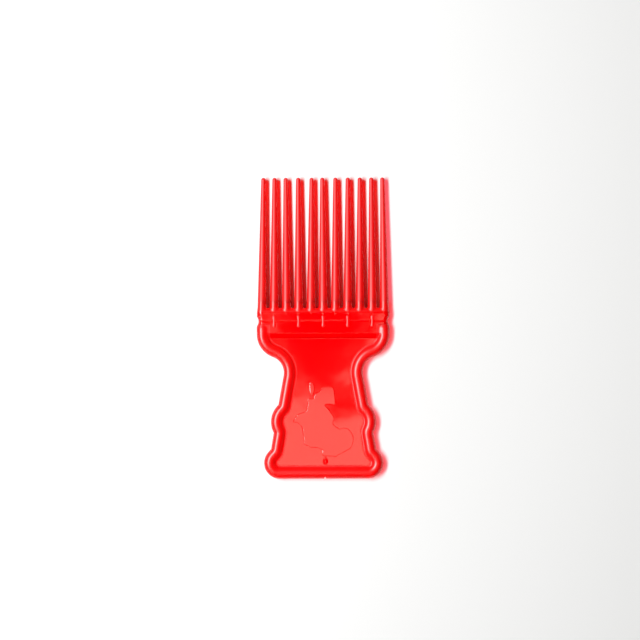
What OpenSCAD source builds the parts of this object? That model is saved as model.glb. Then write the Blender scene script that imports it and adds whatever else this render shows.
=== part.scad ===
// Wide-tooth hair pick with a shaped flat handle, moulded in one colour of glossy red plastic.
// It lies on its back: X is its width, Y runs from the base to the tips, and Z is its thickness.
// The origin is under the middle of its length, level with the lowest line of the rim.
// Each named region is a solid of its own, and neighbouring regions meet face to face.

/* [Tines] */
// Number of tines
tine_count = 11; // [9:2:13]
// Spacing of the tine roots
tine_pitch = 6.72; // [6:0.02:8]
// Length of a tine above the top edge of the band
tine_l = 71.5; // [40:0.1:90]
// Diameter of a tine at its root
tine_root_d = 4.95; // [3:0.05:5.05]
// Diameter of a tine at its tip
tine_tip_d = 2.4; // [1.6:0.05:2.9]
// Depth of the flat-floored seat in the band that each tine stands in
tine_seat = 2.3; // [2:0.1:3.5]
// How far each tip leans to the right of its root, as a share of the spacing, from left to right
tip_lean_shares = [0.16, 0.07, -0.02, 0, 0.1, -0.03, 0.04, 0.05, 0.03, -0.03, -0.13];

/* [Head band] */
// Thickness of the band
band_t = 5.2; // [5.15:0.05:6.2]
// Height of the band at its full thickness
band_h = 13.8; // [12:0.1:22]
// Margin from the axis of an end tine to the side of the band
band_margin = 2.8; // [2.7:0.05:3.2]
// Run of the slope from the band down to the panel
band_slope = 3; // [1.5:0.1:5]
// Distance of the cross groove from the top edge of the band
groove_drop = 7.3; // [6:0.1:9]
// Depth of the cross groove
groove_depth = 0.3; // [0.15:0.05:0.6]
// Width of the cross groove at the surface
groove_w = 1.6; // [0.8:0.1:2.4]
// Depth of the side notches at the ends of the groove
notch_depth = 0.85; // [0.4:0.05:1.4]
// Radius of the side notches
notch_r = 4; // [2.5:0.1:6]

/* [Band ribs] */
// Length of a rib
rib_l = 6.6; // [4:0.1:9]
// Width of a rib at its ends
rib_w = 2; // [1.2:0.1:3]
// Width of a rib at its waist
rib_waist = 1.4; // [0.8:0.1:1.8]
// Height of a rib above the band
rib_rise = 0.45; // [0.2:0.05:0.55]

/* [Rim] */
// Diameter of the round rim
rim_d = 6.5; // [6.3:0.1:7.5]
// How far the rim stands out past the sides of the band
rim_proud = 0.1; // [0:0.02:0.3]
// Width of the handle at its base, outside the rim
base_w = 65.4; // [60:0.1:72]
// Length of the rim that overlaps the band
rim_overlap = 2; // [1:0.1:4]

/* [Rim bends] */
// The rim's centre line is a row of straight runs with rounded corners, named upward from the base
// Rise from the base line to the corner above the heel
heel_rise = 7.6; // [6:0.1:10]
// Rise to the crease above the heel
foot_rise = 4; // [3:0.1:6]
// Width across the creases above the heel
foot_w = 51.7; // [48:0.1:53]
// Rise to the dip below the hip
dip_rise = 10.9; // [8:0.1:14]
// Width across the dips below the hip
dip_w = 48; // [45:0.1:50]
// Rise to the corner of the hip
hip_rise = 7.2; // [6:0.1:9]
// Width across the corners of the hip
hip_w = 55.3; // [52:0.1:57]
// Rise to the crease above the hip
grip_rise = 6.1; // [5:0.1:8]
// Width across the creases above the hip
grip_w = 43.5; // [41:0.1:46]
// Rise to the corner of the neck
neck_rise = 27.2; // [22:0.1:32]
// Width across the corners of the neck
neck_w = 33.6; // [28:0.1:38]
// Rise to the corner of the shoulder
shoulder_rise = 6.1; // [4:0.1:9]
// Rise from the corner of the shoulder to the end of the rim's centre line
rim_end_rise = 9.5; // [8:0.1:14]
// Bend radius of the base corners
base_bend = 5.4; // [4:0.1:6]
// Bend radius of the creases and dips
crease_bend = 3.9; // [3.8:0.1:4.5]
// Bend radius of the hip
hip_bend = 9.5; // [7:0.1:11]
// Bend radius of the neck
neck_bend = 12.4; // [9:0.1:14]
// Bend radius of the shoulder
shoulder_bend = 10.1; // [7:0.1:12]

/* [Panel] */
// Thickness of the recessed panel
panel_t = 2.2; // [1.4:0.1:4]

/* [Gate notch] */
// Width of the notch left at the base where the plastic came in
gate_w = 1.3; // [0.6:0.1:2.5]
// Depth of that notch
gate_depth = 1.4; // [0.6:0.1:2]
// Distance of that notch to the right of the middle
gate_shift = 0.7; // [-8:0.1:8]

/* [Map relief] */
// Width of the raised map
map_w = 32.9; // [20:0.1:34]
// Height of the raised map
map_h = 38.4; // [25:0.1:40]
// Height of the map above the panel
map_rise = 0.45; // [0.2:0.05:0.8]
// Distance from the base edge to the lowest point of the map
map_foot = 12.1; // [11:0.1:16]
// Distance of the map's middle to the right of the handle's middle
map_shift = -0.1; // [-2:0.1:2]

/* [Hidden] */
$fn = 64;
// Overrun of every cut past the solid that it cuts
cut_over = 1;
// A straight run is this much thinner than the bend or ball that it runs into, and reaches this far into it
seam_step = 0.01;
seam_reach = 0.03;
// Shortest straight run left between two bends
least_run = 0.1;
// Most that one straight piece of a rounded outline turns, in degrees
arc_step = 8;
plastic = "#e8141c";
plastic_light = "#f2464a";

rim_r = rim_d / 2;
mid_z = rim_r;
base_x = base_w / 2 - rim_r;

rim_h = rim_r + heel_rise + foot_rise + dip_rise + hip_rise + grip_rise + neck_rise
    + shoulder_rise + rim_end_rise;
whole_l = rim_h - rim_overlap + band_h + tine_l;
base_y = -whole_l / 2;
heel_y = base_y + rim_r + heel_rise;
foot_y = heel_y + foot_rise;
dip_y = foot_y + dip_rise;
hip_y = dip_y + hip_rise;
grip_y = hip_y + grip_rise;
neck_y = grip_y + neck_rise;
shoulder_y = neck_y + shoulder_rise;
rim_end_y = shoulder_y + rim_end_rise;

band_foot_y = rim_end_y - rim_overlap;
band_top_y = band_foot_y + band_h;
panel_top_y = band_foot_y - band_slope;
groove_y = band_top_y - groove_drop;
row_w = (tine_count - 1) * tine_pitch;
band_w = row_w + 2 * band_margin;
head_x = band_w / 2 + rim_proud - rim_r;

// Corners of the rim's centre line on the right side, each with its bend radius, from the top down
right_corners = [
    [head_x, rim_end_y, 0],
    [head_x, shoulder_y, shoulder_bend],
    [neck_w / 2, neck_y, neck_bend],
    [grip_w / 2, grip_y, crease_bend],
    [hip_w / 2, hip_y, hip_bend],
    [dip_w / 2, dip_y, crease_bend],
    [foot_w / 2, foot_y, crease_bend],
    [base_x, heel_y, base_bend],
    [base_x, base_y + rim_r, base_bend],
    [0, base_y + rim_r, 0]
];

// Outline of the map with its south end toward the tines, as shares of its width and height
map_shares = [
    [0.245, 0.82], [0.28, 0.83], [0.33, 0.835], [0.355, 0.86], [0.37, 0.9], [0.4, 0.92],
    [0.44, 0.935], [0.475, 0.98], [0.5, 0.995], [0.565, 1], [0.66, 0.99], [0.685, 0.935],
    [0.69, 0.875], [0.7, 0.765], [0.685, 0.74], [0.615, 0.745], [0.53, 0.735], [0.575, 0.695],
    [0.625, 0.63], [0.66, 0.585], [0.685, 0.54], [0.665, 0.5], [0.665, 0.465], [0.705, 0.435],
    [0.765, 0.395], [0.83, 0.415], [0.9, 0.405], [0.95, 0.365], [0.985, 0.32], [1, 0.265],
    [0.995, 0.205], [0.975, 0.15], [0.95, 0.12], [0.88, 0.08], [0.795, 0.04], [0.715, 0],
    [0.645, 0.005], [0.58, 0.005], [0.495, 0.015], [0.47, 0.045], [0.485, 0.09], [0.435, 0.11],
    [0.385, 0.125], [0.29, 0.13], [0.225, 0.16], [0.185, 0.175], [0.175, 0.265], [0.155, 0.345],
    [0.145, 0.415], [0.11, 0.455], [0.07, 0.485], [0, 0.495], [0.03, 0.56], [0.055, 0.595],
    [0.125, 0.625], [0.195, 0.65], [0.225, 0.685], [0.23, 0.75]
];
// Outline of the island beside the map, as shares of the same width and height
island_shares = [
    [0.28, 1.07], [0.33, 1.055], [0.35, 1.01], [0.355, 0.955], [0.34, 0.91],
    [0.32, 0.875], [0.295, 0.88], [0.275, 0.92], [0.265, 0.98], [0.265, 1.03]
];

function rib_count() = floor(tine_count / 2);
function two_digits(i) = str(i < 10 ? "0" : "", i);
function tine_name(i) = str("tine_", two_digits(i));
function rib_name(i) = str("band_rib_", i);
function tine_x(i) = (i - (tine_count + 1) / 2) * tine_pitch;
function tip_lean(i) = i <= len(tip_lean_shares) ? tip_lean_shares[i - 1] * tine_pitch : 0;

function flat(p) = [p[0], p[1]];
function unit(v) = v / norm(v);
function cross_2d(u, v) = u[0] * v[1] - u[1] * v[0];
function turned(v) = [-v[1], v[0]];
function heading(v) = atan2(v[1], v[0]);
// Angle that a route turns through at corner i, and the length that its bend takes from each run
function turn_at(c, i) = acos(min(1, unit(flat(c[i]) - flat(c[i - 1])) * unit(flat(c[i + 1]) - flat(c[i]))));
function wanted(c, i) = i == 0 || i == len(c) - 1 ? 0 : c[i][2] * tan(turn_at(c, i) / 2);
// A run that is too short for both of its bends gives each the same share of what it wants
function run_share(c, i) =
    let (need = wanted(c, i) + wanted(c, i + 1), room = norm(flat(c[i + 1]) - flat(c[i])) - least_run)
    need > room ? room / need : 1;
function offered(c, i) = wanted(c, i) * min(run_share(c, i - 1), run_share(c, i));
// A corner too tight for the rod to bend round is left sharp, and gets a ball
function is_bent(c, i) = offered(c, i) > (rim_r + seam_reach) * tan(turn_at(c, i) / 2);
function taken(c, i) = is_bent(c, i) ? offered(c, i) : 0;
function bend_start(c, i) = flat(c[i]) - taken(c, i) * unit(flat(c[i]) - flat(c[i - 1]));
function bend_end(c, i) = flat(c[i]) + taken(c, i) * unit(flat(c[i + 1]) - flat(c[i]));
function bend_radius(c, i) = is_bent(c, i) ? taken(c, i) / tan(turn_at(c, i) / 2) : 0;
function bend_side(c, i) = sign(cross_2d(flat(c[i]) - flat(c[i - 1]), flat(c[i + 1]) - flat(c[i])));
function bend_centre(c, i) =
    bend_start(c, i) + bend_side(c, i) * bend_radius(c, i) * turned(unit(flat(c[i]) - flat(c[i - 1])));
function leaves_from(c, i) = i == 0 ? flat(c[0]) : bend_end(c, i);
function arrives_at(c, i) = i == len(c) - 1 ? flat(c[i]) : bend_start(c, i);
// Points of a route with its bends drawn out
function route_points(c) = [
    flat(c[0]),
    for (i = [1 : len(c) - 2])
        let (
            centre = bend_centre(c, i),
            spoke = bend_start(c, i) - centre,
            steps = is_bent(c, i) ? max(2, ceil(turn_at(c, i) / arc_step)) : 0
        )
        for (k = [0 : steps])
            let (a = heading(spoke) + bend_side(c, i) * turn_at(c, i) * k / max(1, steps))
            centre + bend_radius(c, i) * [cos(a), sin(a)],
    flat(c[len(c) - 1])
];
function mirrored(points) = [for (i = [len(points) - 1 : -1 : 0]) [-points[i][0], points[i][1]]];

// Straight round rod from one point to another in the mid-plane, with a reach past both points
module rod(from, to, reach = seam_reach) {
    ahead = reach * unit(to - from);
    translate([from[0] - ahead[0], from[1] - ahead[1], mid_z])
        rotate([0, 0, heading(to - from)])
            rotate([0, 90, 0])
                cylinder(r = rim_r - seam_step, h = norm(to - from) + 2 * reach);
}

// Round rod along the bend at corner i, or a ball where the corner is sharp
module bent_rod(c, i) {
    centre = bend_centre(c, i);
    side = bend_side(c, i);
    first = side > 0 ? bend_start(c, i) : bend_end(c, i);
    translate([centre[0], centre[1], mid_z])
        if (is_bent(c, i))
            rotate([0, 0, heading(first - centre)])
                rotate_extrude(angle = turn_at(c, i))
                    translate([bend_radius(c, i), 0])
                        circle(r = rim_r);
        else
            sphere(r = rim_r);
}

// Rim of the right side, from its round end beside the band to the end of the base corner
module side_rim() {
    c = right_corners;
    last = len(c) - 2;
    translate([head_x, rim_end_y, mid_z])
        sphere(r = rim_r);
    for (i = [1 : last]) {
        rod(leaves_from(c, i - 1), arrives_at(c, i));
        bent_rod(c, i);
    }
}

module right_rim() {
    color(plastic)
        side_rim();
}

module left_rim() {
    color(plastic)
        mirror([1, 0, 0])
            side_rim();
}

// Straight bar along the base, with the notch left by the gate
module base_rim() {
    corner = bend_end(right_corners, len(right_corners) - 2);
    color(plastic)
        difference() {
            rod([-corner[0], corner[1]], corner, 0);
            translate([gate_shift, base_y, mid_z])
                linear_extrude(rim_d + 2 * cut_over, center = true)
                    polygon([
                        [-gate_w / 2, 0],
                        [0, gate_depth],
                        [gate_w / 2, 0],
                        [gate_w / 2, -cut_over],
                        [-gate_w / 2, -cut_over]
                    ]);
        }
}

module whole_rim() {
    side_rim();
    mirror([1, 0, 0])
        side_rim();
    corner = bend_end(right_corners, len(right_corners) - 2);
    rod([-corner[0], corner[1]], corner);
}

// Area inside the rim's centre line, up to the level of its round ends
module rim_area() {
    right = route_points(right_corners);
    polygon(concat(right, mirrored(right)));
}

// Side view of the band in Y and Z: round top edge, flat faces and a slope down to the panel
module band_profile() {
    translate([band_top_y - band_t / 2, 0])
        circle(r = band_t / 2);
    polygon([
        [panel_top_y, -panel_t / 2],
        [band_foot_y, -band_t / 2],
        [band_top_y - band_t / 2, -band_t / 2],
        [band_top_y - band_t / 2, band_t / 2],
        [band_foot_y, band_t / 2],
        [panel_top_y, panel_t / 2]
    ]);
}

module band_slab() {
    translate([0, 0, mid_z])
        rotate([90, 0, 90])
            linear_extrude(band_w, center = true)
                band_profile();
}

// Upright slab with full round sides, as wide as the band
module round_sides() {
    core_w = band_w - band_t;
    sides_y = rim_end_y - seam_reach;
    translate([0, sides_y, mid_z])
        rotate([-90, 0, 0])
            linear_extrude(band_top_y - sides_y + cut_over) {
                square([core_w, band_t], center = true);
                for (side = [-1, 1])
                    translate([side * core_w / 2, 0])
                        circle(r = band_t / 2);
            }
}

// Groove across both faces, and the hollow notch at each of its ends
module cross_groove() {
    for (side = [-1, 1]) {
        translate([0, groove_y, mid_z + side * band_t / 2])
            rotate([90, 0, 90])
                linear_extrude(band_w + 2 * cut_over, center = true)
                    polygon([
                        [-groove_w / 2, 0],
                        [0, -side * groove_depth],
                        [groove_w / 2, 0],
                        [groove_w / 2, side * cut_over],
                        [-groove_w / 2, side * cut_over]
                    ]);
        translate([side * (band_w / 2 - notch_depth + notch_r), groove_y, mid_z])
            cylinder(r = notch_r, h = band_t + 2 * cut_over, center = true);
    }
}

// Band with its seats for the tines, cut to meet the rim
module band_solid() {
    difference() {
        union() {
            intersection() {
                band_slab();
                round_sides();
            }
            intersection() {
                band_slab();
                linear_extrude(rim_d)
                    rim_area();
            }
        }
        cross_groove();
        whole_rim();
        for (i = [1 : tine_count])
            tine_body(i);
    }
}

module head_band() {
    color(plastic)
        band_solid();
}

// Slender cone with a ball tip, from the flat floor of its seat in the band
module tine_body(i) {
    run = tine_seat + tine_l - tine_tip_d / 2;
    lean = tip_lean(i);
    translate([tine_x(i), band_top_y - tine_seat, mid_z]) {
        rotate([-90, 0, -atan2(lean, run)])
            cylinder(r1 = tine_root_d / 2, r2 = tine_tip_d / 2 - seam_step, h = norm([lean, run]));
        translate([lean, run, 0])
            sphere(r = tine_tip_d / 2);
    }
}

module tine(i) {
    color(plastic)
        tine_body(i);
}

// Low rib across the groove, narrower at its waist, on both faces of the band
module band_rib(i) {
    half_l = rib_l / 2 - rib_w / 2;
    color(plastic)
        difference() {
            for (face = [-1, 1], end = [-1, 1])
                translate([tine_x(2 * i), groove_y, mid_z + face * (band_t / 2 + rib_rise - rib_w / 2)]) {
                    rotate([-90 * end, 0, 0])
                        cylinder(r1 = rib_waist / 2, r2 = rib_w / 2, h = half_l);
                    translate([0, end * half_l, 0])
                        sphere(r = rib_w / 2);
                }
            difference() {
                band_slab();
                cross_groove();
            }
        }
}

// Thin web that fills the rim below the band
module handle_panel() {
    color(plastic_light)
        difference() {
            translate([0, 0, mid_z - panel_t / 2])
                linear_extrude(panel_t)
                    intersection() {
                        rim_area();
                        translate([-band_w / 2, base_y])
                            square([band_w, panel_top_y - base_y]);
                    }
            whole_rim();
        }
}

// Raised plain outline of the continent and its island, on the front of the panel
module map_relief() {
    corner = [map_shift - map_w / 2, base_y + map_foot];
    color(plastic_light)
        translate([corner[0], corner[1], mid_z + panel_t / 2])
            linear_extrude(map_rise) {
                polygon([for (p = map_shares) [p[0] * map_w, p[1] * map_h]]);
                polygon([for (p = island_shares) [p[0] * map_w, p[1] * map_h]]);
            }
}

for (i = [1 : tine_count])
    tine(i);
head_band();
for (i = [1 : rib_count()])
    band_rib(i);
left_rim();
right_rim();
base_rim();
handle_panel();
map_relief();
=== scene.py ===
import math

import bmesh
import bpy
import numpy as np
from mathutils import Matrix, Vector


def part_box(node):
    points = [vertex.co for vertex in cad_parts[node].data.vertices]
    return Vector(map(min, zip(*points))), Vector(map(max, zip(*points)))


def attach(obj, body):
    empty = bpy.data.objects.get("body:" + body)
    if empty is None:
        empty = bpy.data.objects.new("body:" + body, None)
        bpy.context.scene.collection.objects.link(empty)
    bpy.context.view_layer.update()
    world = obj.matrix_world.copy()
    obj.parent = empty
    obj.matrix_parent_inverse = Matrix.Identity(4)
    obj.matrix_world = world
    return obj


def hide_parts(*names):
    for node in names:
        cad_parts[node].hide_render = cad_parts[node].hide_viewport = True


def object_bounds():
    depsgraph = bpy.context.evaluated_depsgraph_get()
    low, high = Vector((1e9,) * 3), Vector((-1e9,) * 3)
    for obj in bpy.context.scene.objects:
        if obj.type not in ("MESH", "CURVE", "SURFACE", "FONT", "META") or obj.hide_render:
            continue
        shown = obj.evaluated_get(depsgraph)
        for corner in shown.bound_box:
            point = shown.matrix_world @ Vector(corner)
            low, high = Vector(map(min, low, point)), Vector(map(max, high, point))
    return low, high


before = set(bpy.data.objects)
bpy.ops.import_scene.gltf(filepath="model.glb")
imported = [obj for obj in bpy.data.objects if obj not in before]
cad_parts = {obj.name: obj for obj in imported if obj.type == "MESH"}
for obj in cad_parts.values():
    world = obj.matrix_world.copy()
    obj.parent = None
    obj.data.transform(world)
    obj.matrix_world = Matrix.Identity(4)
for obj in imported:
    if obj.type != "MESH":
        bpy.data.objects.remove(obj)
cadBox = [list(corner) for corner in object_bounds()]

# Shapes are worked out in millimetres, with y from the base edge and z from the middle of the
# thickness, and are set into the frame's metres when a piece is made
mm = 0.001
baseLine = cadBox[0][1]
midLevel = sum(corner.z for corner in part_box("left_rim")) / 2
print("frame:", len(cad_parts), "nodes")


def smoothMin(a, b, size):
    overlap = np.maximum(size - np.abs(a - b), 0)
    return np.minimum(a, b) - overlap * overlap / (4 * size)


def smoothStep(t):
    t = np.clip(t, 0, 1)
    return t * t * (3 - 2 * t)


def between(first, last, share):
    return first + (last - first) * share


# Slope of a field, from its values a little to both sides
def slopeOf(field, points, reach=0.02):
    slope = np.empty_like(points)
    for axis in range(3):
        step = np.zeros(3)
        step[axis] = reach
        slope[:, axis] = (field(*(points + step).T) - field(*(points - step).T)) / (2 * reach)
    return slope


# Quads over the zero level of a field: one point in every cell that the surface passes through,
# pulled onto the surface in a few passes
net = {"step": 0.3, "passes": 4, "leastSlope": 0.05, "longestPull": 0.5}


def netSurface(field, low, high):
    step = net["step"]
    axes = [np.arange(start, end + step, step) for start, end in zip(low, high)]
    values = field(axes[0][:, None, None], axes[1][None, :, None], axes[2][None, None, :])
    inside = values < 0
    corners = [(i, j, k) for i in (0, 1) for j in (0, 1) for k in (0, 1)]
    shape = [n - 1 for n in values.shape]
    nx, ny, nz = shape
    count = sum(inside[i:i + nx, j:j + ny, k:k + nz].astype(int) for i, j, k in corners)
    cells = np.argwhere((count > 0) & (count < len(corners)))
    number = np.full(shape, -1)
    number[tuple(cells.T)] = np.arange(len(cells))

    # a cell's first point is the middle of the places where its edges cross the surface
    total, hits = np.zeros((len(cells), 3)), np.zeros(len(cells))
    for near in corners:
        for axis in range(3):
            if near[axis]:
                continue
            far = tuple(v + (n == axis) for n, v in enumerate(near))
            nearValue, farValue = values[tuple((cells + near).T)], values[tuple((cells + far).T)]
            crossed = (nearValue < 0) != (farValue < 0)
            share = np.where(crossed, nearValue / np.where(crossed, nearValue - farValue, 1), 0)
            crossing = np.array(near, float)[None, :].repeat(len(cells), 0)
            crossing[:, axis] += share
            total[crossed] += crossing[crossed]
            hits[crossed] += 1
    points = np.array([line[0] for line in axes]) + (cells + total / hits[:, None]) * step

    for _ in range(net["passes"]):
        slope = slopeOf(field, points)
        steepness = np.maximum((slope ** 2).sum(1), net["leastSlope"])
        pull = (field(*points.T) / steepness)[:, None] * slope
        length = np.linalg.norm(pull, axis=1)[:, None]
        points -= pull * np.minimum(1, net["longestPull"] * step / np.maximum(length, 1e-9))

    # a quad for every grid edge that the surface crosses, over the four cells around that edge
    quads = []
    for axis in range(3):
        u, v = (axis + 1) % 3, (axis + 2) % 3
        lower, upper = [slice(None)] * 3, [slice(None)] * 3
        lower[axis], upper[axis] = slice(0, -1), slice(1, None)
        start, end = inside[tuple(lower)], inside[tuple(upper)]
        for turned in (False, True):
            edges = np.argwhere(~start & end if turned else start & ~end)
            edges = edges[(edges[:, u] > 0) & (edges[:, v] > 0)]
            around = []
            for du, dv in ((-1, -1), (0, -1), (0, 0), (-1, 0)):
                cell = edges.copy()
                cell[:, u] += du
                cell[:, v] += dv
                around.append(number[tuple(cell.T)])
            quads.append(np.stack(around[::-1] if turned else around, 1))
    return points, np.concatenate(quads)


def meshObject(name, points, faces):
    mesh = bpy.data.meshes.new(name)
    mesh.from_pydata(np.asarray(points).tolist(), [], [list(face) for face in faces])
    mesh.update()
    obj = bpy.data.objects.new(name, mesh)
    bpy.context.scene.collection.objects.link(obj)
    return obj


# Turns all faces outward, and splits the many-sided ones if that is asked for
def faceOutward(obj, split=False):
    bm = bmesh.new()
    bm.from_mesh(obj.data)
    bmesh.ops.recalc_face_normals(bm, faces=bm.faces)
    if split:
        bmesh.ops.triangulate(bm, faces=[face for face in bm.faces if len(face.verts) > 4])
    bm.to_mesh(obj.data)
    bm.free()


# Upright prism over a closed outline, for cutting
def prism(name, outline, low=-6, high=6):
    n = len(outline)
    points = [(x, y, low) for x, y in outline] + [(x, y, high) for x, y in outline]
    faces = [list(range(n))[::-1], list(range(n, 2 * n))]
    faces += [(i, (i + 1) % n, n + (i + 1) % n, n + i) for i in range(n)]
    obj = meshObject(name, points, faces)
    faceOutward(obj)
    return obj


def rectangle(x0, y0, x1, y1):
    return [(x0, y0), (x1, y0), (x1, y1), (x0, y1)]


# Closed skin over rings of equal length, with a flat or pointed end
def skin(rings, apex=None):
    n = len(rings[0])
    points = np.concatenate(rings)
    faces = []
    for r in range(len(rings) - 1):
        for i in range(n):
            j = (i + 1) % n
            faces.append((r * n + i, r * n + j, (r + 1) * n + j, (r + 1) * n + i))
    faces.append(list(range(n))[::-1])
    last = (len(rings) - 1) * n
    if apex is None:
        faces.append([last + i for i in range(n)])
    else:
        points = np.concatenate([points, [apex]])
        faces += [(last + i, last + (i + 1) % n, len(points) - 1) for i in range(n)]
    return points, faces


# Several skins in one list of points and one of faces
def joined(skins):
    faces, offset = [], 0
    for points, own in skins:
        faces += [[i + offset for i in face] for face in own]
        offset += len(points)
    return np.concatenate([points for points, own in skins]), faces


def applyModifiers(obj):
    bpy.context.view_layer.update()
    seen = obj.evaluated_get(bpy.context.evaluated_depsgraph_get())
    mesh = bpy.data.meshes.new_from_object(seen)
    obj.modifiers.clear()
    obj.data = mesh


# A copy of the object with cutters taken away or kept, as plain mesh
def cutCopy(source, name, steps):
    obj = bpy.data.objects.new(name, source.data.copy())
    bpy.context.scene.collection.objects.link(obj)
    for operation, cutter in steps:
        cut = obj.modifiers.new(operation, "BOOLEAN")
        cut.operation = operation
        cut.solver = "MANIFOLD"
        cut.object = cutter
    applyModifiers(obj)
    return obj


# Joins the quads of flat areas into larger faces, tile by tile, so that each join stays small
def thinFlats(obj, angle=0.25, tile=6, rowLength=1000):
    bm = bmesh.new()
    bm.from_mesh(obj.data)
    centres = np.array([face.calc_center_median() for face in bm.faces])
    across, along = np.floor(centres[:, 0] / tile), np.floor(centres[:, 1] / tile)
    tiles = (across * rowLength + along).astype(int).tolist()
    for edge in bm.edges:
        edge.seam = len({tiles[face.index] for face in edge.link_faces}) > 1
    bm.to_mesh(obj.data)
    bm.free()
    thin = obj.modifiers.new("thin", "DECIMATE")
    thin.decimate_type = "DISSOLVE"
    thin.angle_limit = math.radians(angle)
    thin.delimit = {"SEAM"}
    obj.modifiers.new("split", "TRIANGULATE")
    applyModifiers(obj)
    obj.data.edges.foreach_set("use_seam", np.zeros(len(obj.data.edges), bool))


def pointsOf(mesh):
    points = np.empty(len(mesh.vertices) * 3)
    mesh.vertices.foreach_get("co", points)
    return points.reshape(-1, 3)


# Smooth shading straight from the field, with a flat look kept on every cut face: one that lies off
# the field's surface, or turns away from its slope by more than the crease
def dress(obj, field=None, crease=35, offSurface=0.03):
    mesh = obj.data
    mesh.polygons.foreach_set("use_smooth", np.ones(len(mesh.polygons), bool))
    if field is None:
        return
    points = pointsOf(mesh)
    slope = slopeOf(field, points)
    slope /= np.maximum(np.linalg.norm(slope, axis=1), 1e-6)[:, None]
    off = np.abs(field(*points.T)) > offSurface
    corner = np.empty(len(mesh.loops), int)
    mesh.loops.foreach_get("vertex_index", corner)
    faceNormal = np.empty(len(mesh.polygons) * 3)
    mesh.polygons.foreach_get("normal", faceNormal)
    sizes = np.empty(len(mesh.polygons), int)
    mesh.polygons.foreach_get("loop_total", sizes)
    flat = faceNormal.reshape(-1, 3).repeat(sizes, 0)
    smooth = slope[corner]
    flatHere = off[corner] | ((flat * smooth).sum(1) < math.cos(math.radians(crease)))
    mesh.normals_split_custom_set(np.where(flatHere[:, None], flat, smooth).tolist())


# Sets a piece into the frame, gives it its material, hangs it on the root body and hides the part
# of the frame that it takes the place of
def place(obj, node, material):
    mesh = obj.data
    points = pointsOf(mesh) * mm + [0, baseLine, midLevel]
    normals = None
    if mesh.has_custom_normals:
        normals = [tuple(n.vector) for n in mesh.corner_normals]
    mesh.vertices.foreach_set("co", points.ravel())
    if normals:
        mesh.normals_split_custom_set(normals)
    mesh.update()
    mesh.materials.clear()
    mesh.materials.append(material)
    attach(obj, "root")
    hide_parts(node)


def toLinear(hexColour):
    channels = [int(hexColour[i:i + 2], 16) / 255 for i in (1, 3, 5)]
    return [c / 12.92 if c <= 0.04045 else ((c + 0.055) / 1.055) ** 2.4 for c in channels] + [1]


# Adds a node. A setting is a property of the node, the stops of its ramp, or the value of an input
# by name or number. A link goes to the input of its name, or by number if called n0, n1 or n2.
def addNode(tree, kind, settings=None, **links):
    node = tree.nodes.new(kind)
    for key, value in (settings or {}).items():
        if key == "stops":
            for stop, (position, colour) in zip(node.color_ramp.elements, value):
                stop.position, stop.color = position, colour
        elif isinstance(key, str) and key[0].islower():
            setattr(node, key, value)
        else:
            node.inputs[key].default_value = value
    for key, source in links.items():
        tree.links.new(source, node.inputs[int(key[1:]) if key in ("n0", "n1", "n2") else key])
    return node


# What all the looks share, with the sizes of the patterns in millimetres. Real handling scuffs are
# some hundredths of a millimetre wide, too fine to show, so they are drawn as coarse as they need.
styrene = {
    "ior": 1.59,
    "tints": ("#f30003", "#fc0005"),
    "tintFrom": 0.35,
    "tintTo": 0.65,
    "streaks": 6.25,
    "streakDrawn": 0.25,  # the streaks are drawn out along the flow by this
    "peel": 1.111,
    "sway": 18.18,
    "scuffs": 0.4545,
    "scuffTurn": 0.6,
    "scuffDrawn": 0.05,
    "scuffFrom": 0.68,
    "scuffTo": 0.78,
    "scuffDepth": 0.06,
    "redReach": 4.5,
    "otherReach": 0.03,  # green and blue reach this share of it
    "facingSquare": 0.1,
    "facingEdge": 0.75,
    # right of here the shadow lies on open paper, and isn't deepened by a neighbour's
    "openSide": (29.6, 31.4),
}


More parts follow.
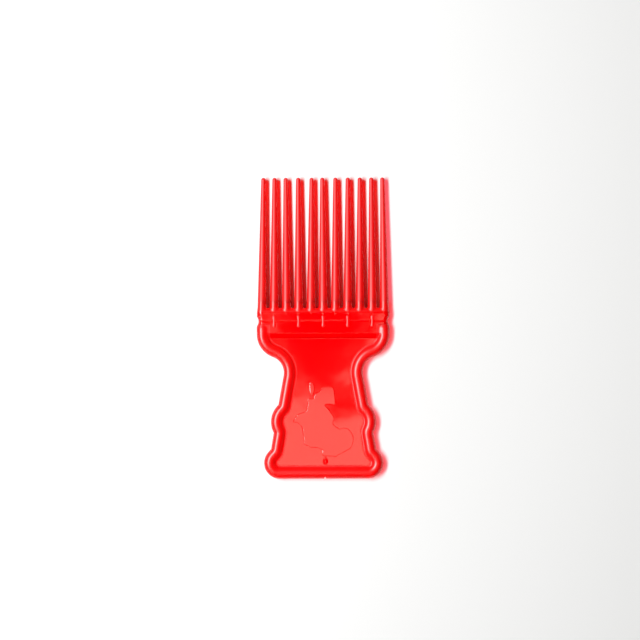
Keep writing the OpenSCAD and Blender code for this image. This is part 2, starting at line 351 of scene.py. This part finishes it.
# General-purpose polystyrene, injection moulded and coloured through. The polished mould gives a
# clear narrow reflection with a faint orange peel, and the flow of the melt leaves the red a little
# streaky. Red light goes some way through it, so it glows a little and throws a red shadow.
def mouldedStyrene(name, look):
    material = bpy.data.materials.new(name)
    material.use_nodes = True
    tree = material.node_tree
    tree.nodes.clear()
    where = addNode(tree, "ShaderNodeTexCoord").outputs["Object"]
    along = addNode(tree, "ShaderNodeSeparateXYZ", Vector=where)

    # the red, streaky along the flow
    flow = addNode(tree, "ShaderNodeMapping", {
        "Scale": (1, styrene["streakDrawn"], 1)}, Vector=where)
    streaks = addNode(tree, "ShaderNodeTexNoise", {
        "Scale": 1 / (styrene["streaks"] * mm), "Detail": 4, "Roughness": 0.6},
        Vector=flow.outputs[0])
    dark, bright = [toLinear(colour) for colour in styrene["tints"]]
    tint = addNode(tree, "ShaderNodeValToRGB", {
        "stops": [(styrene["tintFrom"], dark), (styrene["tintTo"], bright)]},
        Fac=streaks.outputs["Fac"])

    # the polish, with light scuffs and what the look dulls at some heights
    sway = addNode(tree, "ShaderNodeTexNoise", {
        "Scale": 1 / (styrene["sway"] * mm), "Detail": 1.5}, Vector=where)
    dull = addNode(tree, "ShaderNodeMapRange", {
        "To Min": look["polish"][0], "To Max": look["polish"][1]}, Value=sway.outputs["Fac"])
    handled = addNode(tree, "ShaderNodeMapping", {
        "Rotation": (0, 0, styrene["scuffTurn"]),
        "Scale": (1, styrene["scuffDrawn"], 1)}, Vector=where)
    hairlines = addNode(tree, "ShaderNodeTexNoise", {
        "Scale": 1 / (styrene["scuffs"] * mm), "Detail": 1}, Vector=handled.outputs[0])
    scuffs = addNode(tree, "ShaderNodeMapRange", {
        "From Min": styrene["scuffFrom"], "From Max": styrene["scuffTo"],
        "To Min": 0, "To Max": styrene["scuffDepth"]}, Value=hairlines.outputs["Fac"])
    marked = addNode(tree, "ShaderNodeMath", {"operation": "ADD"},
                     n0=dull.outputs[0], n1=scuffs.outputs[0])
    changes = {}
    for change in ("dulled", "fade"):
        start, end, first, last = look[change]
        changes[change] = addNode(tree, "ShaderNodeMapRange", {
            "From Min": baseLine + start * mm, "From Max": baseLine + end * mm,
            "To Min": first, "To Max": last}, Value=along.outputs["Y"]).outputs[0]
    rough = addNode(tree, "ShaderNodeMath", {"operation": "ADD"},
                    n0=marked.outputs[0], n1=changes["dulled"])

    # a slow sway of the surface, and the orange peel on it
    peel = addNode(tree, "ShaderNodeTexNoise", {
        "Scale": 1 / (styrene["peel"] * mm), "Detail": 2}, Vector=where)
    wide = addNode(tree, "ShaderNodeBump", {
        "Strength": 1, "Distance": look["sway"]}, Height=sway.outputs["Fac"])
    fine = addNode(tree, "ShaderNodeBump", {
        "Strength": 1, "Distance": look["peel"]},
        Height=peel.outputs["Fac"], Normal=wide.outputs[0])
    shader = addNode(tree, "ShaderNodeBsdfPrincipled", {
        "IOR": styrene["ior"], "Subsurface Weight": look["milk"],
        "Subsurface Radius": (1, styrene["otherReach"], styrene["otherReach"]),
        "Subsurface Scale": styrene["redReach"] * mm},
        **{"Base Color": tint.outputs[0], "Roughness": rough.outputs[0], "Normal": fine.outputs[0]})

    # what a shadow ray is left with when it has gone through
    edge = addNode(tree, "ShaderNodeLayerWeight", {"Blend": 0.5})
    glow = addNode(tree, "ShaderNodeValToRGB", {
        "stops": [(styrene["facingSquare"], toLinear(look["through"])),
                  (styrene["facingEdge"], toLinear(look["edge"]))]}, Fac=edge.outputs["Facing"])
    outside = addNode(tree, "ShaderNodeMapRange", {
        "From Min": styrene["openSide"][0] * mm, "From Max": styrene["openSide"][1] * mm,
        "To Min": 0, "To Max": 1}, Value=along.outputs["X"])
    lit = addNode(tree, "ShaderNodeMath", {"operation": "MAXIMUM"},
                  n0=changes["fade"], n1=outside.outputs[0])
    dim = addNode(tree, "ShaderNodeVectorMath", {"operation": "SCALE"},
                  n0=glow.outputs["Color"], Scale=lit.outputs[0])
    through = addNode(tree, "ShaderNodeBsdfTransparent", Color=dim.outputs[0])
    ray = addNode(tree, "ShaderNodeLightPath")
    mix = addNode(tree, "ShaderNodeMixShader",
                  n0=ray.outputs["Is Shadow Ray"], n1=shader.outputs[0], n2=through.outputs[0])
    addNode(tree, "ShaderNodeOutputMaterial", Surface=mix.outputs[0])
    return material


# "polish" is the range of the roughness. "sway" and "peel" are the heights of the bumps in metres.
# "through" and "edge" are the light let through where it meets the surface square on and where it
# grazes it. "fade" says between which heights, and from what to what, that light changes, and
# "dulled" the same for the roughness that is added to the polish. "milk" is how much the red glows.
unchanged = {"fade": (0, 1, 1, 1), "dulled": (0, 1, 0, 0)}
flatLook = dict(unchanged, polish=(0.035, 0.06), sway=0.00009, peel=0.000001, milk=0.3,
                through="#ed5050", edge="#ed9595")
mapLook = dict(flatLook, sway=0.00003, milk=0)
bandLook = dict(flatLook, fade=(88, 93, 1, 0.12), dulled=(90.8, 92, 0, 0.33), milk=1,
                through="#f18189", edge="#f8ced4")
rimLook = dict(unchanged, polish=(0.31, 0.38), sway=0.00003, peel=0.000003, milk=1,
               through="#f38990", edge="#f9dadf")
tineLook = dict(unchanged, polish=(0.44, 0.52), sway=0.00003, peel=0.000003, milk=0.8,
                through="#dd0030", edge="#b50030", fade=(96, 165, 0.28, 1))
# the last tine throws its light on the open floor, where it isn't mixed with its neighbours' shade
lastTineLook = dict(tineLook, through="#ef95a0", edge="#efbcc5")

flatPlastic = mouldedStyrene("mirrorPolishedMouldedPolystyrene", flatLook)
bandPlastic = mouldedStyrene("mirrorPolishedThickPolystyrene", bandLook)
mapPlastic = mouldedStyrene("mirrorPolishedReliefPolystyrene", mapLook)
rimPlastic = mouldedStyrene("stonePolishedMouldedPolystyrene", rimLook)
tinePlastic = mouldedStyrene("drawPolishedMouldedPolystyrene", tineLook)
lastTinePlastic = mouldedStyrene("drawPolishedOuterPolystyrene", lastTineLook)
print("materials:", len(bpy.data.materials))


rim = {
    "radius": 3.25,
    # corners of its centre line on the right side, from the top end down: x, y and bend radius
    "corners": [
        (33.25, 81.85, 0), (33.25, 72.35, 10.1), (16.8, 66.25, 12.4), (21.75, 39.05, 3.9),
        (27.65, 32.95, 9.4), (24, 25.75, 3.9), (25.85, 14.85, 3.9), (29.45, 10.85, 5.4),
        (29.45, 3.25, 5.4), (0, 3.25, 0),
    ],
    "panelFillet": 0.45,
    "bandFillet": 0.7,
    "seam": 4.15,  # a rim piece ends this far from its centre line
    "topCut": 84.6,
    "lineStep": 1.5,
    "arcPoints": 12,
    "fold": 0.02,  # a point of the outline nearer than the seam by this lies in a fold
    "gateNotch": [(0.05, -1), (1.35, -1), (1.35, 0), (0.7, 1.4), (0.05, 0)],  # in the base edge
}


# Straight runs and bends of the centre line. A bend is its centre, radius, side and two end spokes.
def buildRoute(corners):
    points = [np.array(corner[:2], float) for corner in corners]
    lines, arcs = [], []
    leave = points[0]
    for i in range(1, len(points) - 1):
        before = (points[i] - points[i - 1]) / np.linalg.norm(points[i] - points[i - 1])
        after = (points[i + 1] - points[i]) / np.linalg.norm(points[i + 1] - points[i])
        radius = corners[i][2]
        turn = math.acos(min(1, before @ after))
        side = math.copysign(1, before[0] * after[1] - before[1] * after[0])
        taken = radius * math.tan(turn / 2)
        start, end = points[i] - taken * before, points[i] + taken * after
        centre = start + side * radius * np.array([-before[1], before[0]])
        lines.append((leave, start))
        arcs.append((centre, radius, side, start - centre, end - centre))
        leave = end
    lines.append((leave, points[-1]))
    return lines, arcs


routeLines, routeArcs = buildRoute(rim["corners"])


# Distance from the rim's centre line in the plane of the pick, negative on the handle's side
def routeDistance(x, y):
    best = np.full(np.broadcast(x, y).shape, 1e3)
    for start, end in routeLines:
        length = np.linalg.norm(end - start)
        ux, uy = (end - start) / length
        px, py = x - start[0], y - start[1]
        along = np.clip(px * ux + py * uy, 0, length)
        found = np.hypot(px - along * ux, py - along * uy)
        found = np.where(ux * py - uy * px < 0, -found, found)
        best = np.where(np.abs(found) < np.abs(best), found, best)
    for centre, radius, side, first, last in routeArcs:
        px, py = x - centre[0], y - centre[1]
        pastFirst = side * (first[0] * py - first[1] * px) >= 0
        beforeLast = side * (px * last[1] - py * last[0]) >= 0
        found = side * (radius - np.hypot(px, py))
        best = np.where(pastFirst & beforeLast & (np.abs(found) < np.abs(best)), found, best)
    return best


tine = {
    "count": 11,
    "pitch": 6.72,
    "rootRadius": 2.475,
    "tipRadius": 1.2,
    "seat": 91.35,
    "end": 165.13,
    # how far each tip leans to the right, as a share of the pitch
    "lean": [0.16, 0.07, -0.02, 0, 0.1, -0.03, 0.04, 0.05, 0.03, -0.03, -0.13],
    "crestEnd": 90.6,  # below this the crest sinks into the face of the band
    "gapFillet": 0.9,  # between a tine and the floor of the gaps beside it
    "faceFillet": 0.12,
    "flare": 0.07,  # a root is this much thicker, over the length below
    "flareEnd": 96.5,
    "cut": 97.15,  # where a tine's own piece starts
    "sides": 40,
    "stationStep": 1.6,
    "tipRings": 8,
}
middleTine = tine["count"] // 2
tipLine = tine["end"] - tine["tipRadius"]


# Middle of the nearest tine at a height, and how far up from its seat that is, as a share
def tineAxis(x, y):
    number = np.clip(np.round(x / tine["pitch"]), -middleTine, middleTine)
    lean = np.array(tine["lean"])[number.astype(int) + middleTine]
    climb = (y - tine["seat"]) / (tipLine - tine["seat"])
    return (number + lean * climb) * tine["pitch"], climb


def tineRadius(y, climb):
    flared = smoothStep((tine["flareEnd"] - y) / (tine["flareEnd"] - tine["seat"]))
    return between(tine["rootRadius"], tine["tipRadius"], climb) + tine["flare"] * flared


def tineField(x, y, z):
    middle, climb = tineAxis(x, y)
    radius = tineRadius(y, climb)
    past = np.maximum(y - tipLine, 0)
    sunk = np.maximum(tine["crestEnd"] - y, 0)
    return np.hypot(np.hypot(x - middle, z), sunk + past) - np.maximum(radius, tine["tipRadius"])


band = {
    "thickness": 5.2,
    "halfWidth": 36.4,
    "top": 93.65,
    "webTop": 83.5,  # the web under the band runs on to here, inside it
    "groove": 86.35,
    "grooveWidth": 1.3,
    "grooveDepth": 0.2,
    "notchDepth": 0.85,
    "notchRadius": 4,
}
panel = {
    "thickness": 2.2,
    "slopeFoot": 76.85,
    "slopeHead": 79.85,
    # the front of the web stands a little proud at the middle of the grip, more to the right
    "swell": 0.16,
    "swellFrom": 53,
    "swellTo": 27,
    "swellLeft": -16,
    "swellAcross": 26,
}
gateMark = {"x": 0.9, "y": 9.6, "halfWidth": 1.1, "halfLength": 1.7, "rise": 0.12}


# Heights that the front of the web gains from the flow mark over the gate and from its swell
def frontGain(x, y, z):
    ring = np.hypot((x - gateMark["x"]) / gateMark["halfWidth"],
                    (y - gateMark["y"]) / gateMark["halfLength"])
    mark = np.where(z > 0, gateMark["rise"] * np.exp(-ring * ring), 0)
    upward = smoothStep((panel["swellFrom"] - y) / (panel["swellFrom"] - panel["swellTo"]))
    sideways = smoothStep((x - panel["swellLeft"]) / panel["swellAcross"])
    return mark, np.where(z > 0, panel["swell"] * (upward * sideways), 0)


# The band with its round edges and side notches, where its faces are already sunk by the groove
def plateField(across, y, sunk):
    edge, radius = band["thickness"] / 2, band["notchRadius"]
    bow = np.sqrt(np.maximum(radius * radius - (y - band["groove"]) ** 2, 0))
    notch = np.maximum(bow - radius + band["notchDepth"], 0)
    beside = np.maximum(across - (band["halfWidth"] - edge - notch), 0)
    above = np.maximum(np.maximum(y - (band["top"] - edge), rim["corners"][0][1] - y), 0)
    return np.hypot(np.hypot(beside, above), sunk) - edge


# The moulding without its ribs and map: negative inside, in millimetres
def bodyField(x, y, z):
    across, height = np.abs(x), np.abs(z)
    route = routeDistance(across, y)
    tube = np.hypot(route, z) - rim["radius"]
    t = np.clip(np.abs(y - band["groove"]) / (band["grooveWidth"] / 2), 0, 1)
    sunk = height + band["grooveDepth"] * (0.5 + 0.5 * np.cos(math.pi * t))
    rise = np.clip((y - panel["slopeFoot"]) / (panel["slopeHead"] - panel["slopeFoot"]), 0, 1)
    halfDepth = between(panel["thickness"], band["thickness"], rise) / 2
    mark, swell = frontGain(x, y, z)
    web = np.maximum(np.maximum(sunk - halfDepth - mark - swell, route), y - band["webTop"])
    plate = plateField(across, y, sunk)
    fillet = between(rim["panelFillet"], rim["bandFillet"], smoothStep(rise))
    body = smoothMin(tube, np.minimum(web, plate), fillet)
    edge = band["thickness"] / 2
    inGap = smoothStep((y - band["top"] + edge) / edge)
    fillet = between(tine["faceFillet"], tine["gapFillet"], inGap)
    body = smoothMin(body, tineField(x, y, z), fillet)
    sides = np.maximum(height - rim["radius"], across - rim["corners"][0][0] - rim["radius"])
    body = np.maximum(body, sides)
    return np.maximum(body, y - tine["cut"] - 3 * net["step"])


# The moulding is made in one net, in a box with some room round it, and then cut into its regions
bodyBox = {"x": 37.2, "low": -0.85, "above": 1.8, "z": 4.2}
points, quads = netSurface(bodyField, (-bodyBox["x"], bodyBox["low"], -bodyBox["z"]),
                           (bodyBox["x"], tine["cut"] + bodyBox["above"], bodyBox["z"]))
body = meshObject("body", points, quads)
print("body net:", len(points), "points,", len(quads), "quads")


# Outline of one rim region: the route set off to both sides, without the folds of tight bends
def rimOutline():
    path = []
    for (start, end), arc in zip(routeLines, routeArcs):
        run = end - start
        length = np.linalg.norm(run)
        normal = np.array([-run[1], run[0]]) / length
        count = max(2, int(length / rim["lineStep"]))
        path += [(start + run * t, normal) for t in np.linspace(0, 1, count)]
        centre, radius, side, first, last = arc
        begin = math.atan2(first[1], first[0])
        turn = math.atan2(first[0] * last[1] - first[1] * last[0], first @ last)
        for angle in np.linspace(begin, begin + turn, rim["arcPoints"])[1:-1]:
            spoke = np.array([math.cos(angle), math.sin(angle)])
            path.append((centre + radius * spoke, -side * spoke))
    path.append((routeLines[-1][0], np.array([0.0, -1.0])))
    inner, outer = [], []
    for point, normal in path:
        for kept, way in ((inner, -1), (outer, 1)):
            moved = point + way * rim["seam"] * normal
            if abs(routeDistance(abs(moved[0]), moved[1])) > rim["seam"] - rim["fold"]:
                kept.append(tuple(moved))
    inner[0] = (inner[0][0], rim["topCut"])
    outer[0] = (outer[0][0], rim["topCut"])
    return inner + outer[::-1]


# the straight cutters reach past the moulding, to both sides and below
cutter = {"wide": 40, "panelLow": -3, "baseLow": -2}
rightOutline = rimOutline()
cornerX = routeLines[-1][0][0]
seamY = rim["corners"][-1][1] + rim["seam"]
rightPrism = prism("rightPrism", rightOutline)
leftPrism = prism("leftPrism", [(-x, y) for x, y in rightOutline])
basePrism = prism("basePrism", rectangle(-cornerX, cutter["baseLow"], cornerX, seamY))
bandPrism = prism("bandPrism", rectangle(
    -cutter["wide"], panel["slopeFoot"], cutter["wide"], tine["cut"]))
panelPrism = prism("panelPrism", rectangle(
    -cutter["wide"], cutter["panelLow"], cutter["wide"], panel["slopeFoot"]))
gate = prism("gate", rim["gateNotch"])

withoutSides = [("DIFFERENCE", rightPrism), ("DIFFERENCE", leftPrism)]
regions = {
    "head_band": ("headBand", bandPlastic, [("INTERSECT", bandPrism)] + withoutSides),
    "right_rim": ("rightRim", rimPlastic, [("INTERSECT", rightPrism)]),
    "left_rim": ("leftRim", rimPlastic, [("INTERSECT", leftPrism)]),
    "base_rim": ("baseRim", rimPlastic, [("INTERSECT", basePrism), ("DIFFERENCE", gate)]),
    "handle_panel": ("handlePanel", flatPlastic,
                     [("INTERSECT", panelPrism)] + withoutSides + [("DIFFERENCE", basePrism)]),
}
for node, (name, plastic, steps) in regions.items():
    piece = cutCopy(body, name, steps)
    thinFlats(piece)
    dress(piece, bodyField)
    place(piece, node, plastic)
    print(name, len(piece.data.polygons), "faces")
for used in (body, rightPrism, leftPrism, basePrism, bandPrism, panelPrism, gate):
    bpy.data.objects.remove(used)


# One tine from its cut up: its cone in stations, its ball tip in rings, and a point
def tineSkin(k):
    x0 = (k - middleTine) * tine["pitch"]
    count = int((tipLine - tine["cut"]) / tine["stationStep"])
    stations = [(y, None) for y in np.linspace(tine["cut"], tipLine, count)]
    stations += [(tipLine + tine["tipRadius"] * math.sin(a), tine["tipRadius"] * math.cos(a))
                 for a in np.linspace(0, math.pi / 2, tine["tipRings"] + 1)[1:-1]]
    turns = np.linspace(0, 2 * math.pi, tine["sides"], endpoint=False)
    rings = []
    for y, radius in stations:
        middle, climb = tineAxis(np.array(x0), min(y, tipLine))
        if radius is None:
            radius = tineRadius(y, climb)
        rings.append(np.stack([middle + radius * np.sin(turns), np.full(len(turns), y),
                               radius * np.cos(turns)], 1))
    return skin(rings, [float(tineAxis(np.array(x0), tipLine)[0]), tine["end"], 0])


for k in range(tine["count"]):
    piece = meshObject(f"tine{k + 1:02d}", *tineSkin(k))
    dress(piece, tineField)
    place(piece, f"tine_{k + 1:02d}", lastTinePlastic if k + 1 == tine["count"] else tinePlastic)
print("tines:", tine["count"])


# Low ribs across the groove, narrower at the waist, on both faces of the band
rib = {
    "count": 5,
    "length": 6.6,
    "endWidth": 1.9,
    "waistWidth": 1.3,
    "rise": 0.45,
    "endLength": 0.9,
    "endTip": 0.12,  # the angle above the band at which a rounded end stops
    "endRings": 7,
    "stations": 17,
    "sides": 24,
    "sunk": 0.15,
    "sharp": 40,
    # the block of band cut out between the two faces' ribs
    "coreX": 5,
    "coreFrom": 70,
    "coreTo": 100,
}


# Along the rib: how far from its middle, half the width there and the share of the rise
def ribProfile():
    halfLength = rib["length"] / 2 - rib["endLength"]
    profile = []
    for t in np.linspace(-1, 1, rib["stations"]):
        width = between(rib["waistWidth"], rib["endWidth"], float(smoothStep(abs(t))))
        profile.append((t * halfLength, width / 2, 1))
    for angle in np.linspace(math.pi / 2, rib["endTip"], rib["endRings"])[1:]:
        reach = halfLength + rib["endLength"] * math.cos(angle)
        size = (rib["endWidth"] / 2 * math.sin(angle), math.sin(angle))
        profile = [(-reach, *size)] + profile + [(reach, *size)]
    return profile


def ribSkin(x0, face):
    turns = np.linspace(0, 2 * math.pi, rib["sides"], endpoint=False)
    rings = [np.stack([x0 + halfWidth * np.sin(turns), np.full(len(turns), band["groove"] + y),
                       face * (band["thickness"] / 2 + rib["rise"] * share * np.cos(turns))], 1)
             for y, halfWidth, share in ribProfile()]
    points, faces = skin(rings)
    return points, faces if face > 0 else [f[::-1] for f in faces]


for k in range(rib["count"]):
    x0 = (k - rib["count"] // 2) * 2 * tine["pitch"]
    solid = meshObject("ribSolid", *joined([ribSkin(x0, 1), ribSkin(x0, -1)]))
    sunkFace = band["thickness"] / 2 - rib["sunk"]
    outline = rectangle(x0 - rib["coreX"], rib["coreFrom"], x0 + rib["coreX"], rib["coreTo"])
    core = prism("core", outline, -sunkFace, sunkFace)
    piece = cutCopy(solid, f"bandRib{k + 1}", [("DIFFERENCE", core)])
    dress(piece)
    piece.data.set_sharp_from_angle(angle=math.radians(rib["sharp"]))
    place(piece, f"band_rib_{k + 1}", rimPlastic)
    bpy.data.objects.remove(solid)
    bpy.data.objects.remove(core)
print("ribs:", rib["count"])


relief = {
    "width": 32.9,
    "height": 38.4,
    "foot": 12.1,
    "shift": -0.1,
    "rise": 0.45,
    "lean": 0.004,  # the top drops by this share of the distance from its far end
    "sunk": 0.1,
    "edge": 0.4,
    "footInset": 0.02,
    "footShare": 0.05,
    # the rounded edge: shares of its width and of the rise
    "round": [(0.12, 0.35), (0.3, 0.68), (0.6, 0.91), (1, 1)],
    "sharp": 50,
    "coastStep": 0.35,
    "smoothed": 5,  # the wander is an average over this many points
    # outlines with the south end toward the tines, as shares of the width and height, and how far
    # their small bays and headlands wander
    "land": {"wander": 0.14, "seed": 4, "outline": [
        (0.245, 0.82), (0.28, 0.83), (0.33, 0.835), (0.355, 0.86), (0.37, 0.9), (0.4, 0.92),
        (0.44, 0.935), (0.475, 0.98), (0.5, 0.995), (0.565, 1), (0.66, 0.99), (0.685, 0.935),
        (0.69, 0.875), (0.7, 0.765), (0.685, 0.74), (0.615, 0.745), (0.53, 0.735), (0.575, 0.695),
        (0.625, 0.63), (0.66, 0.585), (0.685, 0.54), (0.665, 0.5), (0.665, 0.465), (0.705, 0.435),
        (0.765, 0.395), (0.83, 0.415), (0.9, 0.405), (0.95, 0.365), (0.985, 0.32), (1, 0.265),
        (0.995, 0.205), (0.975, 0.15), (0.95, 0.12), (0.88, 0.08), (0.795, 0.04), (0.715, 0),
        (0.645, 0.005), (0.58, 0.005), (0.495, 0.015), (0.47, 0.045), (0.485, 0.09), (0.435, 0.11),
        (0.385, 0.125), (0.29, 0.13), (0.225, 0.16), (0.185, 0.175), (0.175, 0.265), (0.155, 0.345),
        (0.145, 0.415), (0.11, 0.455), (0.07, 0.485), (0, 0.495), (0.03, 0.56), (0.055, 0.595),
        (0.125, 0.625), (0.195, 0.65), (0.225, 0.685), (0.23, 0.75),
    ]},
    "island": {"wander": 0.06, "seed": 9, "outline": [
        (0.28, 1.07), (0.33, 1.055), (0.35, 1.01), (0.355, 0.955), (0.34, 0.91),
        (0.32, 0.875), (0.295, 0.88), (0.275, 0.92), (0.265, 0.98), (0.265, 1.03),
    ]},
}


# Unit normals of a closed line, to the left of the way it runs
def leftOf(line):
    tangent = np.roll(line, -1, 0) - np.roll(line, 1, 0)
    return np.stack([-tangent[:, 1], tangent[:, 0]], 1) / np.linalg.norm(tangent, axis=1)[:, None]


# A closed smooth curve through the outline's points, with small bays and headlands
def coast(part):
    corners = np.array(part["outline"]) * [relief["width"], relief["height"]]
    line = []
    for i in range(len(corners)):
        a, b, c, d = [corners[(i + step) % len(corners)] for step in (-1, 0, 1, 2)]
        count = max(3, int(np.linalg.norm(c - b) / relief["coastStep"]))
        for t in np.arange(count) / count:
            bend = (2 * a - 5 * b + 4 * c - d) * t * t
            twist = (3 * b - a - 3 * c + d) * t ** 3
            line.append(0.5 * (2 * b + (c - a) * t + bend + twist))
    line = np.array(line)
    size = relief["smoothed"]
    ends = size // 2 + 1
    rough = np.random.default_rng(part["seed"]).normal(size=len(line))
    rough = np.concatenate([rough[-ends:], rough, rough[:ends]])
    rough = np.convolve(rough, np.ones(size) / size, "same")[ends:-ends]
    line = line + leftOf(line) * (part["wander"] * rough)[:, None]
    return line + [relief["shift"] - relief["width"] / 2, relief["foot"]]


def reliefSkin(part):
    line = coast(part)
    ahead = np.roll(line, -1, 0)
    if (line[:, 0] * ahead[:, 1] - ahead[:, 0] * line[:, 1]).sum() < 0:
        line = line[::-1]
    inward = leftOf(line)
    face, rise = panel["thickness"] / 2, relief["rise"]
    foot = relief["footInset"]
    levels = [(foot, -relief["sunk"] / rise), (foot, relief["footShare"])]
    levels += [(width * relief["edge"], share) for width, share in relief["round"]]
    rings = []
    for inset, share in levels:
        ring = line + inward * inset
        climb = rise - relief["lean"] * (relief["foot"] + relief["height"] - ring[:, 1])
        rings.append(np.column_stack([ring, face + share * np.where(share > 0, climb, rise)]))
    return skin(rings)


skins = [reliefSkin(relief["land"]), reliefSkin(relief["island"])]
piece = meshObject("mapRelief", *joined(skins))
faceOutward(piece, split=True)
dress(piece)
piece.data.set_sharp_from_angle(angle=math.radians(relief["sharp"]))
# the top faces are shaded flat, without a share of the rounded edge
normals = [tuple(n.vector) for n in piece.data.corner_normals]
for face in piece.data.polygons:
    if face.normal.z > 0.999:
        for corner in face.loop_indices:
            normals[corner] = tuple(face.normal)
piece.data.normals_split_custom_set(normals)
place(piece, "map_relief", mapPlastic)
print("map relief:", len(piece.data.polygons), "faces")


# The room: soft glows, a dark spot straight above and pale walls low down. Angles are in degrees.
room = {
    # azimuth and height of a glow's middle, its inner and outer radius, and its brightness
    "glows": [(235, 52, 3, 9, 6), (270, 73, 3, 8, 1), (250, 86, 5, 6.5, 2.15)],
    "colour": "#fffce5",
    "ambient": 0.003,
    "fillShare": 0.25,  # the glows are small cards: clear in the gloss, weak as a fill
    "spotAcross": 1.8,
    "spotAlong": 2.6,
    "spotShift": 0.1,
    "spotSoft": 0.22,
    # brightness of the walls, and the heights between which it fades away
    "walls": 0.17,
    "wallsFull": 6,
    "wallsNone": 30,
}


def toward(azimuth, height):
    a, h = math.radians(azimuth), math.radians(height)
    return math.cos(h) * math.cos(a), math.cos(h) * math.sin(a), math.sin(h)


def lightRoom():
    world = bpy.data.worlds.new("softTent")
    bpy.context.scene.world = world
    world.use_nodes = True
    tree = world.node_tree
    tree.nodes.clear()
    way = addNode(tree, "ShaderNodeTexCoord").outputs["Generated"]
    level = addNode(tree, "ShaderNodeSeparateXYZ", Vector=way)

    total = None
    for azimuth, height, inner, outer, power in room["glows"]:
        near = addNode(tree, "ShaderNodeVectorMath", {
            "operation": "DOT_PRODUCT", 1: toward(azimuth, height)}, n0=way)
        lit = addNode(tree, "ShaderNodeMapRange", {
            "interpolation_type": "SMOOTHSTEP", "From Min": math.cos(math.radians(outer)),
            "From Max": math.cos(math.radians(inner)), "To Min": 0, "To Max": power},
            Value=near.outputs["Value"])
        if total is None:
            total = addNode(tree, "ShaderNodeMath", {"operation": "ADD", 1: room["ambient"]},
                            n0=lit.outputs[0])
        else:
            total = addNode(tree, "ShaderNodeMath", {"operation": "ADD"},
                            n0=total.outputs[0], n1=lit.outputs[0])

    # the dark spot is an ellipse round the zenith, and isn't seen again below the floor
    across, along, shift = [math.sin(math.radians(room[key]))
                            for key in ("spotAcross", "spotAlong", "spotShift")]
    spot = addNode(tree, "ShaderNodeMapping", {
        "Location": (0, -shift * (1 / along), 0), "Scale": (1 / across, 1 / along, 0)}, Vector=way)
    far = addNode(tree, "ShaderNodeVectorMath", {"operation": "LENGTH"}, n0=spot.outputs[0])
    clear = addNode(tree, "ShaderNodeMapRange", {
        "interpolation_type": "SMOOTHSTEP", "From Min": 1 - room["spotSoft"],
        "From Max": 1 + room["spotSoft"], "To Min": 0, "To Max": 1}, Value=far.outputs["Value"])
    under = addNode(tree, "ShaderNodeMath", {"operation": "LESS_THAN", 1: 0}, n0=level.outputs["Z"])
    uncovered = addNode(tree, "ShaderNodeMath", {"operation": "MAXIMUM"},
                        n0=clear.outputs[0], n1=under.outputs[0])
    strength = addNode(tree, "ShaderNodeMath", {"operation": "MULTIPLY"},
                       n0=total.outputs[0], n1=uncovered.outputs[0])

    ray = addNode(tree, "ShaderNodeLightPath")
    fill = addNode(tree, "ShaderNodeMapRange", {"To Min": 1, "To Max": room["fillShare"]},
                   Value=ray.outputs["Is Diffuse Ray"])
    dimmed = addNode(tree, "ShaderNodeMath", {"operation": "MULTIPLY"},
                     n0=strength.outputs[0], n1=fill.outputs[0])
    walls = addNode(tree, "ShaderNodeMapRange", {
        "interpolation_type": "SMOOTHSTEP", "To Min": room["walls"], "To Max": 0,
        "From Min": math.sin(math.radians(room["wallsFull"])),
        "From Max": math.sin(math.radians(room["wallsNone"]))}, Value=level.outputs["Z"])
    whole = addNode(tree, "ShaderNodeMath", {"operation": "ADD"},
                    n0=dimmed.outputs[0], n1=walls.outputs[0])
    light = addNode(tree, "ShaderNodeBackground", {"Color": toLinear(room["colour"])},
                    Strength=whole.outputs[0])
    addNode(tree, "ShaderNodeOutputWorld", Surface=light.outputs[0])


# White paper, uncoated: matt, without a reflection of its own
floor = {"half": 1.5, "parts": 8, "white": "#f3f3f3", "roughness": 0.9}
bm = bmesh.new()
bmesh.ops.create_grid(bm, x_segments=floor["parts"], y_segments=floor["parts"], size=floor["half"])
floorMesh = bpy.data.meshes.new("paperFloor")
bm.to_mesh(floorMesh)
bm.free()
paperFloor = bpy.data.objects.new("paperFloor", floorMesh)
bpy.context.scene.collection.objects.link(paperFloor)
paper = bpy.data.materials.new("whitePaper")
paper.use_nodes = True
sheet = paper.node_tree.nodes["Principled BSDF"].inputs
sheet["Base Color"].default_value = toLinear(floor["white"])
sheet["Roughness"].default_value = floor["roughness"]
floorMesh.materials.append(paper)

lightRoom()
key = {"distance": 1.1, "azimuth": 170, "height": 57, "size": (0.75, 0.17), "power": 18}
keyData = bpy.data.lights.new("keyBox", "AREA")
keyData.shape = "RECTANGLE"
keyData.size, keyData.size_y = key["size"]
keyData.energy = key["power"]
keyBox = bpy.data.objects.new("keyBox", keyData)
bpy.context.scene.collection.objects.link(keyBox)
keyBox.location = Vector(toward(key["azimuth"], key["height"])) * key["distance"]
keyBox.rotation_euler = (-keyBox.location).to_track_quat("-Z", "Y").to_euler()

view = {
    "fieldOfView": 20.0,
    "frameSpan": 351.1,  # millimetres across the frame at the middle of the pick
    "middle": (-1.76, 87.03),  # the point that the frame is centred on, from the base edge
    "roll": -0.22,
    "clip": (0.05, 20),
}
camera = bpy.data.objects.new("camera", bpy.data.cameras.new("camera"))
bpy.context.scene.collection.objects.link(camera)
bpy.context.scene.camera = camera
camera.data.sensor_fit = "HORIZONTAL"
camera.data.angle = math.radians(view["fieldOfView"])
distance = view["frameSpan"] * mm / 2 / math.tan(camera.data.angle / 2)
camera.location = (view["middle"][0] * mm, view["middle"][1] * mm + baseLine, midLevel + distance)
camera.rotation_euler = (0, 0, math.radians(view["roll"]))
camera.data.clip_start, camera.data.clip_end = view["clip"]
bpy.context.scene.view_settings.view_transform = "Standard"
bpy.context.scene.cycles.caustics_reflective = False  # keeps the gaps between the tines dark
print("floor, room, light and camera set")
